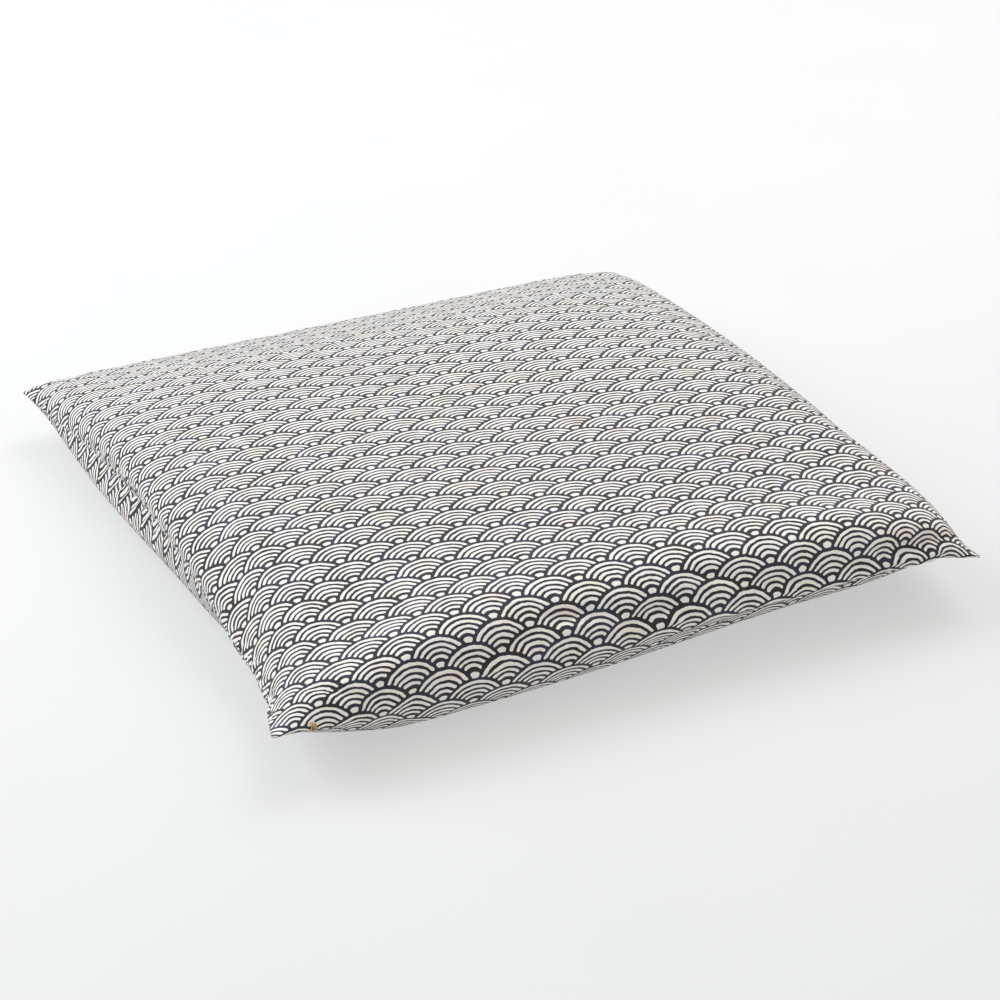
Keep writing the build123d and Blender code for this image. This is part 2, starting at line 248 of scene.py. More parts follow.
# ---- finishes -----------------------------------------------------------------------
@dataclass(frozen=True)
class PrintedCotton:
    """Cotton printed with rows of overlapping waves: cream arcs on navy."""

    name: str = "printed_cotton"
    radius: float = 22.0 * MM
    row_rise: float = 11.3 * MM
    first_column: float = 6.0 * MM
    first_row: float = 4.0 * MM
    arc_pitch: float = 3.95 * MM
    arc_half_width: float = 1.04 * MM
    line_between: float = 1.6 * MM
    arcs: int = 4
    end_gap: float = 1.5 * MM
    eye_radius: float = 4.6 * MM
    cream: tuple = (0.775, 0.750, 0.725)
    pink_cream: tuple = (0.79, 0.70, 0.645)
    yellow_cream: tuple = (0.79, 0.755, 0.65)
    navy: tuple = (0.018, 0.017, 0.022)
    blue_navy: tuple = (0.026, 0.029, 0.058)
    bends: tuple = ((26.0, 2.6 * MM), (120.0, 1.5 * MM), (420.0, 0.75 * MM))
    thin_arc: float = 0.70
    arc_change: float = 0.6
    arc_changes_per_metre: float = 60.0
    ink_edge: float = 0.13 * MM
    thread_pitch: float = 0.55 * MM
    relief: float = 0.09 * MM

    def hand_drawn(self, graph: Graph, cloth: Value) -> tuple[Value, Value]:
        """Return the cloth's two coordinates, bent as a hand-cut stencil bends its lines."""
        across, along, _ = graph.split(cloth)
        for per_metre, reach in self.bends:
            noise = graph.noise(cloth, 1.0, per_metre, "Color")
            aside, ahead, _ = graph.split(noise, "ShaderNodeSeparateColor")
            across = across + (aside - 0.5) * reach
            along = along + (ahead - 0.5) * reach
        return across - self.first_column, along - self.first_row

    def row_distance(self, across: Value, along: Value, row: Value) -> Value:
        """Return the distance to the nearest wave centre of a row."""
        turns = (across - row * self.radius) / (2 * self.radius)
        aside = (turns - turns.math("ROUND")) * (2 * self.radius)
        above = along - row * self.row_rise
        return (aside * aside + above * above).math("SQRT")

    def cream_mask(self, graph: Graph, cloth: Value) -> Value:
        """Return 1 on the cream arcs and 0 on the navy ground."""
        across, along = self.hand_drawn(graph, cloth)
        row = ((along - self.radius) / self.row_rise).math("CEIL")
        below, lowest, middle, highest = (
            self.row_distance(across, along, row + step) for step in (-1.0, 0.0, 1.0, 2.0)
        )
        in_lowest = lowest < self.radius
        in_middle = (1 - in_lowest) * (middle < self.radius)
        in_highest = 1 - in_lowest - in_middle
        reach = lowest * in_lowest + middle * in_middle + highest * in_highest
        nearer = lowest.at_most(below) * in_middle + lowest.at_most(middle) * in_highest
        spare = below * in_lowest + nearer - self.radius
        outermost = self.radius - self.line_between / 2 - self.arc_half_width
        turn = ((outermost - reach) / self.arc_pitch).math("ROUND")
        turn = turn.at_least(0.0).at_most(self.arcs - 1.0)
        from_arc = abs(reach - (outermost - turn * self.arc_pitch))
        eye = outermost - (self.arcs - 0.5) * self.arc_pitch
        from_eye = (reach - (self.eye_radius - self.arc_half_width)).at_least(0.0)
        in_eye = reach < eye
        offset = from_eye * in_eye + from_arc * (1 - in_eye)
        corner = (self.arc_half_width + self.end_gap - spare).at_least(0.0)
        weight = graph.noise(cloth, 1.0, self.arc_changes_per_metre)
        half = self.arc_half_width * (self.thin_arc + self.arc_change * weight)
        inside = half - (offset * offset + corner * corner).math("SQRT")
        return inside.ramp(-self.ink_edge, self.ink_edge)

    def dyed(self, graph: Graph, cloth: Value, mask: Value) -> Value:
        """Return the print's colours, each uneven from place to place."""
        pink = graph.noise(graph.scaled(cloth, (45.0, 60.0, 1.0))).ramp(0.45, 0.72)
        yellow = graph.noise(graph.scaled(cloth, (70.0, 38.0, 1.0))).ramp(0.5, 0.75)
        blue = graph.noise(graph.scaled(cloth, (30.0, 30.0, 1.0)), 3.0).ramp(0.4, 0.7)
        arcs = graph.colour_mix(pink, self.cream, self.pink_cream)
        arcs = graph.colour_mix(yellow, arcs, self.yellow_cream)
        ground = graph.colour_mix(blue, self.navy, self.blue_navy)
        return graph.colour_mix(mask, ground, arcs)

    def material(self) -> bpy.types.Material:
        """Return the printed cloth."""
        graph = Graph(self.name)
        cloth = graph.cloth()
        mask = self.cream_mask(graph, cloth)
        slub = graph.noise(graph.scaled(cloth, (1500.0, 60.0, 1.0)), 1.0)
        slub = slub + graph.noise(graph.scaled(cloth, (60.0, 1500.0, 1.0)), 1.0)
        shade = 0.80 + 0.2 * slub
        colour = graph.colour_mix(1.0, self.dyed(graph, cloth, mask), shade, "MULTIPLY")
        across, along, _ = graph.split(cloth)
        turns = 2 * math.pi / self.thread_pitch
        weave = (across * turns).math("SINE") * (along * turns).math("SINE")
        height = 0.35 * weave + 0.5 * slub
        fixed = {"Sheen Weight": 0.12, "Sheen Roughness": 0.5, "Specular IOR Level": 0.35}
        return graph.finish(colour, 0.84 - 0.08 * mask, height, self.relief, fixed)


@dataclass(frozen=True)
class Thread:
    """Twisted sewing thread."""

    name: str
    light: tuple
    dark: tuple
    twist: float = 2200.0
    relief: float = 0.08 * MM

    def material(self) -> bpy.types.Material:
        """Return thread with a diagonal twist and a soft shine."""
        graph = Graph(self.name)
        place = graph.place(self.twist)
        across, along, rise = graph.split(place)
        ply = (across + rise + along).math("SINE") * 0.5 + 0.5
        fuzz = graph.noise(place, 3.0, 0.6)
        colour = graph.colour_mix(ply * 0.7 + fuzz * 0.3, self.dark, self.light)
        return graph.finish(
            colour, 0.55 + 0.2 * fuzz, ply, self.relief, {"Sheen Weight": 0.2}
        )


@dataclass(frozen=True)
class PlainWeave:
    """Cloth with a visible over-and-under weave."""

    name: str
    light: tuple
    dark: tuple
    thread_pitch: float
    relief: float = 0.12 * MM

    def material(self) -> bpy.types.Material:
        """Return the woven cloth."""
        graph = Graph(self.name)
        across, along, rise = graph.split(graph.place(math.pi / self.thread_pitch))
        weave = across.math("SINE") * (along + rise).math("SINE") * 0.5 + 0.5
        cloud = graph.noise(graph.place(35.0), 3.0)
        slub = graph.noise(graph.place((90.0, 900.0, 900.0)))
        colour = graph.colour_mix(weave * 0.35 + cloud * 0.35 + slub * 0.3, self.dark, self.light)
        return graph.finish(colour, 0.82 + 0.1 * cloud, weave, self.relief, {"Sheen Weight": 0.15})


@dataclass(frozen=True)
class Wadding:
    """Carded cotton fibre."""

    name: str = "cotton_wadding"
    light: tuple = (0.86, 0.84, 0.79)
    dark: tuple = (0.66, 0.62, 0.54)
    relief: float = 1.6 * MM

    def material(self) -> bpy.types.Material:
        """Return matted fibre whose hollows are darkened with painted shade."""
        graph = Graph(self.name)
        clumps = graph.noise(graph.place(70.0), 4.0)
        fibres = graph.noise(graph.place((260.0, 1100.0, 500.0)), 5.0)
        pile = clumps * 0.55 + fibres * 0.45
        # The colour follows the relief: painted shade darkens the hollows of the pile.
        colour = graph.colour_mix(pile.ramp(0.3, 0.65), self.dark, self.light)
        return graph.finish(colour, 0.95, pile, self.relief, {"Sheen Weight": 0.4})


@dataclass(frozen=True)
class Nylon:
    """Moulded nylon filament of the zip's coils."""

    name: str = "zip_coil"
    light: tuple = (0.055, 0.060, 0.105)
    dark: tuple = (0.022, 0.025, 0.050)
    relief: float = 0.02 * MM

    def material(self) -> bpy.types.Material:
        """Return dyed filament, glossier on its crowns."""
        graph = Graph(self.name)
        streak = graph.noise(graph.place((900.0, 300.0, 300.0)))
        colour = graph.colour_mix(streak, self.dark, self.light)
        return graph.finish(colour, 0.30 + 0.25 * streak, streak, self.relief)


@dataclass(frozen=True)
class PlatedMetal:
    """Nickel plate over a die casting, tumbled smooth."""

    name: str = "zip_metal"
    bright: tuple = (0.72, 0.70, 0.67)
    dull: tuple = (0.46, 0.44, 0.41)
    relief: float = 0.01 * MM

    def material(self) -> bpy.types.Material:
        """Return plated metal with fine scratches and dulled hollows."""
        graph = Graph(self.name)
        cloud = graph.noise(graph.place(420.0), 3.0)
        scratch = graph.noise(graph.place((500.0, 6000.0, 6000.0)))
        colour = graph.colour_mix(cloud.ramp(0.35, 0.65), self.dull, self.bright)
        roughness = 0.22 + 0.18 * cloud + 0.12 * scratch
        return graph.finish(colour, roughness, scratch, self.relief, {"Metallic": 1.0})


@dataclass(frozen=True)
class StudioPaper:
    """Seamless white paper under the cushion, which glows with painted light that lightens the
    shadows on it.
    """

    name: str = "studio_paper"
    light: tuple = (0.31, 0.31, 0.31)
    dark: tuple = (0.29, 0.29, 0.29)
    # The paper glows with painted light, white at the back and dimmer towards the front as painted
    # shade; the glow lightens the shadows cast on it.
    lit: tuple = (1.0, 1.0, 1.0)
    shaded: tuple = (0.83, 0.86, 0.845)
    glow: float = 0.505
    relief: float = 0.05 * MM

    def material(self) -> bpy.types.Material:
        """Return matt paper with a barely visible mottle and a painted glow, less bright towards
        the front as painted shade.
        """
        graph = Graph(self.name)
        mottle = graph.noise(graph.place(6.0), 3.0)
        colour = graph.colour_mix(mottle, self.dark, self.light)
        across, along, _ = graph.split(graph.place(1.0))
        nearness = 0.2 * across - along
        # Painted light: the glow's colour runs from white at the back to a painted shade at the
        # front.
        glow = graph.colour_mix(nearness.ramp(-0.3, 0.9), self.lit, self.shaded)
        fixed = {"Specular IOR Level": 0.1, "Emission Strength": self.glow, "Emission Color": glow}
        return graph.finish(colour, 0.9, mottle, self.relief, fixed)


# ---- meshes -------------------------------------------------------------------------
class Side(Enum):
    """Which of two mirrored pieces: above or below the zip, right or left of the middle."""

    PLUS = 1
    MINUS = -1

    @property
    def level(self) -> str:
        """Return the word for the piece above or below the zip."""
        return "upper" if self is Side.PLUS else "lower"

    @property
    def hand(self) -> str:
        """Return the word for the piece right or left of the middle."""
        return "right" if self is Side.PLUS else "left"


def as_object(
    name: str, points: np.ndarray, faces: list, material: bpy.types.Material, smooth: bool = True
) -> bpy.types.Object:
    """Make a mesh object in the scene.

    Args:
        name: The piece's name.
        points: One row of three numbers for each vertex.
        faces: Vertex numbers of each face.
        material: Its finish.
        smooth: Whether its faces are shaded smooth.

    Returns:
        The object.
    """
    mesh = bpy.data.meshes.new(name)
    mesh.from_pydata(np.asarray(points, float).tolist(), [], [list(map(int, f)) for f in faces])
    mesh.polygons.foreach_set("use_smooth", [smooth] * len(mesh.polygons))
    mesh.materials.append(material)
    made = bpy.data.objects.new(name, mesh)
    bpy.context.scene.collection.objects.link(made)
    return made


def points_of(mesh: bpy.types.Mesh, layer: str = "") -> np.ndarray:
    """Return the mesh's vertex places, or one number per vertex from a named layer."""
    if layer:
        values = np.zeros(len(mesh.vertices))
        mesh.attributes[layer].data.foreach_get("value", values)
        return values
    flat = np.zeros(3 * len(mesh.vertices))
    mesh.vertices.foreach_get("co", flat)
    return flat.reshape(-1, 3)


def normals_of(mesh: bpy.types.Mesh) -> np.ndarray:
    """Return the outward direction at each vertex."""
    flat = np.zeros(3 * len(mesh.vertices))
    mesh.vertex_normals.foreach_get("vector", flat)
    return flat.reshape(-1, 3)


def move_points(mesh: bpy.types.Mesh, points: np.ndarray) -> None:
    """Put the mesh's vertices at new places."""
    mesh.vertices.foreach_set("co", points.ravel())
    mesh.update()


def skin_of(mesh: bpy.types.Mesh) -> BVHTree:
    """Return a tree that finds where a line meets the mesh."""
    return BVHTree.FromPolygons(
        [v.co for v in mesh.vertices], [p.vertices[:] for p in mesh.polygons]
    )


def apply_modifiers(piece: bpy.types.Object) -> None:
    """Replace the piece's mesh by what its modifiers make of it."""
    graph = bpy.context.evaluated_depsgraph_get()
    final = bpy.data.meshes.new_from_object(
        piece.evaluated_get(graph), preserve_all_data_layers=True, depsgraph=graph
    )
    piece.modifiers.clear()
    piece.shape_key_clear()
    piece.data = final


def smooth_step(value: np.ndarray, low: float, high: float) -> np.ndarray:
    """Return a smooth step from 0 at `low` to 1 at `high`."""
    share = np.clip((value - low) / (high - low), 0, 1)
    return share * share * (3 - 2 * share)


def tubes(paths: list[np.ndarray], radius: float, around: int = 6) -> tuple[np.ndarray, list]:
    """Make round rods along several paths.

    Args:
        paths: The centre line of each rod.
        radius: The rods' radius.
        around: Sides of the section.

    Returns:
        The vertices and the faces of all rods.
    """
    points, faces = [], []
    turns = np.arange(around) * 2 * np.pi / around
    for path in paths:
        ahead = np.gradient(path, axis=0)
        ahead /= np.linalg.norm(ahead, axis=1, keepdims=True)
        across = np.cross(ahead, np.where(abs(ahead[:, 2:3]) > 0.9, (1.0, 0, 0), (0, 0, 1.0)))
        across /= np.linalg.norm(across, axis=1, keepdims=True)
        up = np.cross(ahead, across)
        first = sum(len(p) for p in points)
        rings = path[:, None] + radius * (
            np.cos(turns)[None, :, None] * across[:, None]
            + np.sin(turns)[None, :, None] * up[:, None]
        )
        points.append(rings.reshape(-1, 3))
        for ring in range(len(path) - 1):
            low, high = first + ring * around, first + (ring + 1) * around
            for side in range(around):
                following = (side + 1) % around
                faces.append([low + side, low + following, high + following, high + side])
        last = first + (len(path) - 1) * around
        faces.append([first + side for side in reversed(range(around))])
        faces.append([last + side for side in range(around)])
    return np.concatenate(points), faces


def stitch_rows(
    line: np.ndarray, outward: np.ndarray, length: float, gap: float, sink: float
) -> list[np.ndarray]:
    """Split a seam line into single stitches whose ends dip into the cloth.

    Args:
        line: Points along the seam.
        outward: The cloth's outward direction at each point.
        length: Length of a stitch.
        gap: Cloth between two stitches.
        sink: How far the ends go in.

    Returns:
        The centre line of each stitch.
    """
    along = np.concatenate([[0], np.cumsum(np.linalg.norm(np.diff(line, axis=0), axis=1))])
    share = np.linspace(0, 1, POINTS_PER_STITCH)
    dip = sink * np.abs(np.linspace(-1, 1, POINTS_PER_STITCH)) ** 3
    rows = []
    for start in np.arange(0.0, along[-1] - length, length + gap):
        places = start + length * share
        centre, normal = (
            np.stack([np.interp(places, along, given[:, axis]) for axis in range(3)], 1)
            for given in (line, outward)
        )
        rows.append(centre - normal * dip[:, None])
    return rows


def around_cells(grid: np.ndarray, turned: bool) -> np.ndarray:
    """Return what a grid holds at the four corners of each cell, in order round the cell.

    Args:
        grid: A number, or a row of numbers, for each point of the grid.
        turned: Whether to go round the other way, which turns a face over.

    Returns:
        Four entries for each cell.
    """
    columns, rows = grid.shape[0] - 1, grid.shape[1] - 1
    corners = [(j, i) if turned else (i, j) for i, j in ((0, 0), (1, 0), (1, 1), (0, 1))]
    cells = [grid[i : columns + i, j : rows + j] for i, j in corners]
    return np.stack(cells, 2).reshape(columns * rows, 4, *grid.shape[2:])


def closed_slab_faces(columns: int, rows: int) -> list:
    """Return the faces of two grids of points, the lower one first, joined round their edges."""
    numbers = np.arange(columns * rows).reshape(columns, rows)
    above = numbers.size
    faces = around_cells(numbers, True).tolist() + around_cells(numbers + above, False).tolist()
    sides = numbers[:, 0], numbers[-1, 1:], numbers[-2::-1, -1], numbers[0, -2:0:-1]
    rim = np.concatenate(sides)
    for here, following in zip(rim, np.roll(rim, -1)):
        faces.append([here, following, following + above, here + above])
    return faces


def declare(piece: bpy.types.Object, body: str, slot: str, *nodes: str) -> None:
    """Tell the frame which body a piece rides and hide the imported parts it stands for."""
    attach(piece, body)
    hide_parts(*nodes)
    LOG.info("%s: %d faces, for %s", piece.name, len(piece.data.polygons), ", ".join(nodes))


# ---- the cloth ----------------------------------------------------------------------
@dataclass(frozen=True)
class ClothCut:
    """The folded cloth before it is stuffed: two panels on one grid that share their edges."""

    half_width: float = 275 * MM
    half_depth: float = 295 * MM
    columns: int = 92
    rows: int = 98

    @property
    def flat(self) -> tuple[np.ndarray, np.ndarray]:
        """Return the grid's X and Y when the cloth lies flat."""
        across = np.linspace(-self.half_width, self.half_width, self.columns + 1)
        along = np.linspace(-self.half_depth, self.half_depth, self.rows + 1)
        return np.meshgrid(across, along, indexing="ij")

    @property
    def upper(self) -> np.ndarray:
        """Return the vertex numbers of the upper panel."""
        shape = (self.columns + 1, self.rows + 1)
        return np.arange(shape[0] * shape[1]).reshape(shape)

    @property
    def lower(self) -> np.ndarray:
        """Return the vertex numbers of the lower panel, which shares the upper one's edges."""
        numbers = self.upper.copy()
        inner = (self.columns - 1) * (self.rows - 1)
        numbers[1:-1, 1:-1] = numbers.size + np.arange(inner).reshape(self.columns - 1, -1)
        return numbers

    def merged(self, upper: np.ndarray, lower: np.ndarray) -> np.ndarray:
        """Return one array by vertex number from the two panels' arrays."""
        tail = upper.shape[2:]
        inner = lower[1:-1, 1:-1].reshape(-1, *tail)
        return np.concatenate([upper.reshape(-1, *tail), inner])


@dataclass(frozen=True)
class StuffedForm:
    """The form that the stuffing gives the cloth."""

    crown: float = 86 * MM
    side_height: float = 46 * MM
    zip_height: float = 36 * MM
    front_left: float = 12 * MM
    front_right: float = 30 * MM
    back_left: float = 32 * MM
    back_right: float = 30 * MM
    crown_power: float = 4.0
    crown_root: float = 0.5
    belly_power: float = 3.0
    belly_root: float = 0.35
    belly_fullness: float = 1.12
    front_corner_power: float = 2.0
    back_corner_power: float = 16.0

    def seam(self, xi: np.ndarray, eta: np.ndarray) -> np.ndarray:
        """Return the seam's height, carried in over the whole cushion."""
        right, back = (1 + xi) / 2, (1 + eta) / 2
        front_corners = (1 - right) * self.front_left + right * self.front_right
        back_corners = (1 - right) * self.back_left + right * self.back_right
        corners = (1 - back) * front_corners + back * back_corners
        middle = self.side_height + (self.zip_height - self.side_height) * back**3
        gained = self.back_corner_power - self.front_corner_power
        power = self.front_corner_power + gained * back**3
        return corners + (middle - corners) * (1 - np.abs(xi * eta) ** power) ** 2

    def heights(self, xi: np.ndarray, eta: np.ndarray) -> tuple[np.ndarray, np.ndarray]:
        """Return the heights of the upper and the lower panel."""
        seam = self.seam(xi, eta)
        rise = self.bulge(xi, eta, self.crown_power, self.crown_root)
        fall = self.bulge(xi, eta, self.belly_power, self.belly_root)
        upper = seam + (self.crown - self.side_height) * rise
        return upper, np.maximum(seam * (1 - np.clip(self.belly_fullness * fall, 0, 1)), 0)

    @staticmethod
    def bulge(xi: np.ndarray, eta: np.ndarray, power: float, root: float) -> np.ndarray:
        """Return a dome that is 0 at the edges and 1 in the middle."""
        sides = np.clip(1 - np.abs(xi) ** power, 0, 1)
        return (sides * np.clip(1 - np.abs(eta) ** power, 0, 1)) ** root


@dataclass(frozen=True)
class Plump:
    """One push on the stuffed cloth, fading out around its middle."""

    across: float
    along: float
    reach: tuple[float, float]
    push: tuple[float, float, float]
    side: Side | None = None
    seam_reach: float = 15 * MM

    def share(self, across: np.ndarray, along: np.ndarray) -> np.ndarray:
        """Return how much of the push each place on the flat cloth feels."""
        aside = (across - self.across) / self.reach[0]
        ahead = (along - self.along) / self.reach[1]
        return np.exp(-(aside**2) - ahead**2)


PLUMPED = (
    Plump(-250 * MM, 120 * MM, (60 * MM, 150 * MM), (-11 * MM, 0, -3 * MM), Side.MINUS),
    Plump(-275 * MM, -195 * MM, (95 * MM, 80 * MM), (10 * MM, 0, 0)),
    Plump(-250 * MM, -215 * MM, (60 * MM, 50 * MM), (4 * MM, 0, 8 * MM), Side.MINUS),
    Plump(-275 * MM, -295 * MM, (45 * MM, 45 * MM), (5 * MM, 8 * MM, 5 * MM)),
    Plump(160 * MM, -290 * MM, (160 * MM, 60 * MM), (0, 4 * MM, 15 * MM), Side.MINUS),
    Plump(180 * MM, 20 * MM, (100 * MM, 150 * MM), (3 * MM, 0, 4 * MM), Side.PLUS),
    Plump(275 * MM, -295 * MM, (60 * MM, 60 * MM), (-20 * MM, 0, 2 * MM)),
    Plump(275 * MM, 295 * MM, (45 * MM, 45 * MM), (-8 * MM, -5 * MM, -2 * MM)),
    Plump(60 * MM, -262 * MM, (260 * MM, 42 * MM), (0, -5 * MM, 4 * MM), Side.PLUS, 30 * MM),
)


@dataclass(frozen=True)
class Crease:
    """One shallow fold that runs roughly along the front edge, with a low swell behind it."""

    across: float
    run: float
    length: float
    width: float
    depth: float
    slope: float
    swell: float = 0.6
    swell_place: float = 1.9
    swell_width: float = 1.4

    def sunk(self, across: np.ndarray, run: np.ndarray) -> np.ndarray:
        """Return how deep the fold lies at each place, from the middle and from the front."""
        aside = across - self.across
        valley = run - self.run - self.slope * aside
        behind = (valley + self.swell_place * self.width) / (self.swell_width * self.width)
        shape = np.exp(-((valley / self.width) ** 2)) - self.swell * np.exp(-(behind**2))
        return np.exp(-((aside / self.length) ** 2)) * shape * self.depth


CREASES = (
    Crease(-105 * MM, 17 * MM, 34 * MM, 5.0 * MM, 4.0 * MM, 0.22),
    Crease(-50 * MM, 27 * MM, 28 * MM, 5.0 * MM, 4.5 * MM, -0.16),
    Crease(10 * MM, 16 * MM, 36 * MM, 5.5 * MM, 5.5 * MM, 0.14),
    Crease(48 * MM, 30 * MM, 22 * MM, 5.0 * MM, 3.5 * MM, -0.20),
    Crease(100 * MM, 13 * MM, 34 * MM, 4.5 * MM, 3.5 * MM, -0.12),
    Crease(205 * MM, 15 * MM, 44 * MM, 5.5 * MM, 6.5 * MM, 0.06),
    Crease(-222 * MM, 24 * MM, 18 * MM, 4.5 * MM, 2.6 * MM, -0.7),
)


@dataclass(frozen=True)
class Puckers:
    """The small gathers that the stitching draws up beside a side seam."""

    pitch: float = 10.5 * MM
    height: float = 1.5 * MM
    reach: float = 9 * MM
    rim: tuple[float, float] = (-1 * MM, 4 * MM)
    calm_end: tuple[float, float] = (4 * MM, 40 * MM)
    wobble: float = 0.8 * MM
    wobble_reach: float = 3 * MM
    groove: float = 1.2 * MM
    groove_reach: float = 7 * MM
    wander: tuple = ((3.0 * MM, 31 * MM), (2.0 * MM, 13 * MM))
    slant: Triple = (0.35, 0.3, 57 * MM)
    strength: Triple = (0.6, 0.4, 41 * MM)
    phases: tuple = ((Side.MINUS, 0.0), (Side.PLUS, 2.1))

    def wave(
        self, across: np.ndarray, along: np.ndarray, inward: np.ndarray, phase: float
    ) -> np.ndarray:
        """Return the gathers' uneven wave, from -1 to 1.

        Args:
            across: Places on the flat cloth, from the middle.
            along: Places on the flat cloth, from the middle to the zip.
            inward: Distance from the seam, negative on the lower panel.
            phase: Where the wave starts.

        Returns:
            The wave's height at each place.
        """
        (wide, wide_run), (narrow, narrow_run) = self.wander
        wander = wide * np.sin(along / wide_run + across) + narrow * np.sin(along / narrow_run)
        middle, change, change_run = self.slant
        slant = inward * (middle + change * np.sin(along / change_run + phase))
        return np.sin((along + slant + wander) * 2 * np.pi / self.pitch + phase)

    def vigour(self, along: np.ndarray, phase: float) -> np.ndarray:
        """Return how strong the gathers are along the seam."""
        middle, change, change_run = self.strength
        return middle + change * np.sin(along / change_run + 3 * phase)


@dataclass
class Cover:
    """The printed cover: cut, stuffed, opened for the zip and dressed."""

    cut: ClothCut = ClothCut()
    form: StuffedForm = StuffedForm()
    frames: int = 20
    filling_frames: int = 12
    pressure: float = 15.0
    hold: float = 0.3
    soft_edge: float = 0.35
    edge_fade: float = 1.5
    waist: float = 30 * MM
    seam_hold: float = 0.5
    seam_fade: float = 1.3
    zip_hold: tuple[float, ...] = (1.0, 1.0, 0.9)
    wall_lean: float = 0.12
    steepest: float = 0.3
    easing: int = 14
    eased: tuple[float, float] = (50 * MM, 110 * MM)
    plumped: tuple[Plump, ...] = PLUMPED
    floor_give: float = 1.5 * MM
    zip_column: int = 37
    slot_half_height: float = 3.9 * MM
    lip_run: float = 30 * MM
    hem_width: float = 5 * MM
    cloth: float = 0.4 * MM
    puckers: Puckers = Puckers()
    creases: tuple[Crease, ...] = CREASES

    def __post_init__(self) -> None:
        """Read the zip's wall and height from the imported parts."""
        self.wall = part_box("zip_stitching_upper")[0].y
        self.wall_height = (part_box("zip_coil_upper")[0].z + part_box("zip_coil_lower")[1].z) / 2
        across, along = self.cut.flat
        self.xi, self.eta = across / self.cut.half_width, along / self.cut.half_depth

    # -- target form
    def laid_out(self, height: np.ndarray, axis: int, step: float) -> np.ndarray:
        """Return places along one axis at which neighbours keep their distance on the cloth."""
        rise = np.diff(height, axis=axis)
        run = np.sqrt(np.maximum(step**2 - rise**2, (self.steepest * step) ** 2))
        start = np.zeros_like(np.take(run, [0], axis=axis))
        place = np.concatenate([start, np.cumsum(run, axis=axis)], axis=axis)
        return place - np.take(place, [place.shape[axis] // 2], axis=axis)

    def stuffed(self) -> np.ndarray:
        """Return the target place of each vertex."""
        step_x = 2 * self.cut.half_width / self.cut.columns
        step_y = 2 * self.cut.half_depth / self.cut.rows
        panels = []
        for side, height in zip((1, -1), self.form.heights(self.xi, self.eta)):
            across = self.laid_out(height, 0, step_x)
            along = self.laid_out(height, 1, step_y)
            panel = np.stack([across, along, height], 2)
            pulled = self.cut.half_width - self.waist * (1 - self.eta[0] ** 2)
            panel[0, :, 0], panel[-1, :, 0] = -pulled, pulled
            beside_zip = self.zip_columns(1)
            for row in range(len(self.zip_hold)):
                run = row * step_y
                panel[beside_zip, -1 - row, 1] = self.wall - self.wall_lean * max(run - step_y, 0)
                panel[beside_zip, -1 - row, 2] = self.wall_height + side * run
            panels.append(panel)
        return self.cut.merged(*panels)

    def zip_columns(self, spare: int = 0) -> np.ndarray:
        """Return which columns the zip reaches, with so many to spare at each end."""
        middle = self.cut.columns // 2
        return np.abs(np.arange(self.cut.columns + 1) - middle) <= self.zip_column + spare

    def hold_weights(self) -> np.ndarray:
        """Return how firmly the stuffing and the zip hold each vertex."""
        inward = np.minimum(1 - np.abs(self.xi), 1 - np.abs(self.eta))
        weight = np.clip(inward / self.soft_edge, 0, 1) ** self.edge_fade * self.hold
        from_ends = self.seam_fade * (1 - self.eta[[0, -1]] ** 2)
        weight[[0, -1]] = self.seam_hold * np.clip(from_ends, 0, 1)
        for row, firm in enumerate(self.zip_hold):
            weight[self.zip_columns(1), -1 - row] = firm
        return self.cut.merged(weight, weight)

    # -- simulation
    def simulate(self, target: np.ndarray) -> np.ndarray:
        """Stuff the flat cloth by simulation.

        Args:
            target: Where the stuffing pushes each vertex.

        Returns:
            The settled place of each vertex.
        """
        across, along = self.cut.flat
        dome = MM * (1 - self.xi**2) * (1 - self.eta**2)
        layers = [np.stack([across, along, self.wall_height + side * dome], 2) for side in (1, -1)]
        flat = self.cut.merged(*layers)
        piece = as_object("cloth_blank", flat, self.faces(), bpy.data.materials.new("blank"))
        piece.shape_key_add(name="Basis")
        key = piece.shape_key_add(name="stuffed")
        key.data.foreach_set("co", target.ravel())
        for value, moment in ((0.0, 1), (1.0, self.filling_frames)):
            key.value = value
            key.keyframe_insert("value", frame=moment)
        group = piece.vertex_groups.new(name="held")
        for number, weight in enumerate(self.hold_weights()):
            group.add([number], float(weight), "REPLACE")
        self.add_cloth(piece)
        scene = bpy.context.scene
        scene.frame_start, scene.frame_end = 1, self.frames
        for moment in range(1, self.frames + 1):
            scene.frame_set(moment)
        graph = bpy.context.evaluated_depsgraph_get()
        settled = points_of(piece.evaluated_get(graph).data)
        bpy.data.objects.remove(piece)
        scene.frame_set(1)
        return settled

    def add_cloth(self, piece: bpy.types.Object) -> None:
        """Give the piece the cloth settings of a firm cotton case under pressure."""
        modifier = piece.modifiers.new("Cloth", "CLOTH")
        values = {
            "quality": 6, "mass": 0.3, "tension_stiffness": 15, "compression_stiffness": 15,
            "shear_stiffness": 5, "bending_stiffness": 0.5, "tension_damping": 5,
            "compression_damping": 5, "shear_damping": 5, "bending_damping": 0.5,
            "air_damping": 5, "vertex_group_mass": "held", "pin_stiffness": 1.0,
            "use_pressure": True, "uniform_pressure_force": self.pressure,
        }
        for name, value in values.items():
            setattr(modifier.settings, name, value)
        modifier.settings.effector_weights.gravity = 0
        modifier.collision_settings.use_collision = False
        modifier.point_cache.frame_start = 1
        modifier.point_cache.frame_end = self.frames

    def faces(self) -> list:
        """Return the faces of both panels, the lower one turned over."""
        upper = around_cells(self.cut.upper, False).tolist()
        return upper + around_cells(self.cut.lower, True).tolist()

